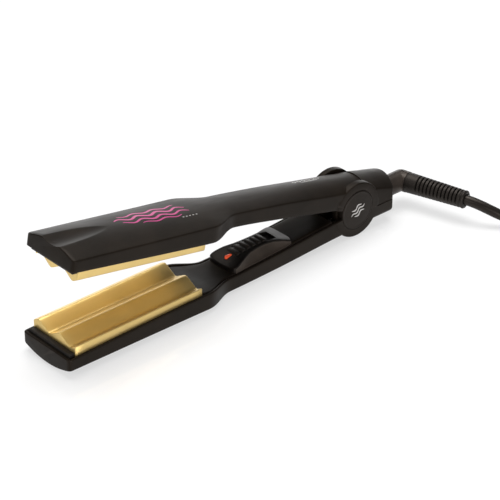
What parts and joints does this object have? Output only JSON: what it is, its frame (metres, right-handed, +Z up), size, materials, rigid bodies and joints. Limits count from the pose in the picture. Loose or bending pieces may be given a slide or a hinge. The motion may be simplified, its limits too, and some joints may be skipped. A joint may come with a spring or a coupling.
{
  "type": "hair crimper",
  "caption": "Two-arm hair crimper with wavy heated plates, sprung jaw hinge, slide switch, pilot light and a swivelling mains lead with plug.",
  "frame": {"origin": "on the table under the middle of the body's length, on the middle plane of both arms; the body is measured without the lead", "axes": "+X from the tip to the hinge, +Y to the far side, +Z up; the lower arm lies on z = 0 with the jaws open"},
  "size_m": [0.5034, 0.1185, 0.0814],
  "materials": {
    "casing": "dark brown-black soft satin",
    "caps": "satin, slightly lighter",
    "panel": "half-gloss black",
    "lens": "clear red-orange",
    "led": "diffused",
    "plates": "gold-coloured ceramic coating, satin",
    "heat_resin": "heat-proof resin",
    "ceramic": "unglazed",
    "film": "polyimide film",
    "steel": "zinc plated",
    "wire": "silicone sleeve",
    "board": "solder mask",
    "switch": "moulded",
    "swivel": "satin",
    "boot": "satin",
    "cord": "satin PVC",
    "strap": "hook-and-loop",
    "plug": "moulded PVC",
    "pins": "nickel plated"
  },
  "bodies": {
    "lower_arm": {"lower_shell": "casing", "lower_inner_cover": "casing", "switch_panel": "panel", "pilot_lens": "lens", "lower_plate": "plates", "lower_plate_carrier": "heat_resin", "lower_heater": "ceramic", "lower_insulation_sheet": "film", "lower_pressure_spring": "steel", "lower_thermal_fuse": "ceramic", "temperature_sensor": "ceramic", "lower_heater_leads": "wire", "circuit_board": "board", "slide_switch_body": "switch", "pilot_led": "led", "mains_leads": "wire", "rear_cover": "casing", "hinge_pin": "steel", "near_hinge_cap": "caps", "far_hinge_cap": "caps", "jaw_spring": "steel", "lower_cover_screws": "steel", "rear_cover_screws": "steel"},
    "upper_arm": {"upper_shell": "casing", "upper_inner_cover": "casing", "upper_plate": "plates", "upper_plate_carrier": "heat_resin", "upper_heater": "ceramic", "upper_insulation_sheet": "film", "upper_pressure_spring": "steel", "upper_thermal_fuse": "ceramic", "upper_heater_leads": "wire", "upper_cover_screws": "steel"},
    "slider": {"switch_slider": "panel"},
    "swivel": {"cord_swivel": "swivel", "strain_relief": "boot", "power_cord": "cord", "cord_coil": "cord", "cord_tail": "cord", "coil_tie": "strap", "plug_body": "plug", "plug_pins": "pins"}
  },
  "joints": [
    {"name": "jaw", "type": "hinge", "parent": "lower_arm", "child": "upper_arm", "pos_m": [0.0965, 0, 0.0192], "axis": [0, -1, 0], "range_deg": [0, 10.7], "stiffness_Nm_per_rad": 0.6, "springref_deg": -22.92},
    {"name": "switch_slide", "type": "slide", "parent": "lower_arm", "child": "slider", "axis": [1, 0, 0], "range_m": [0, 0.006]},
    {"name": "cord_turn", "type": "hinge", "parent": "lower_arm", "child": "swivel", "pos_m": [0.1355, 0, 0.0155], "axis": [1, 0, 0], "continuous": true}
  ]
}
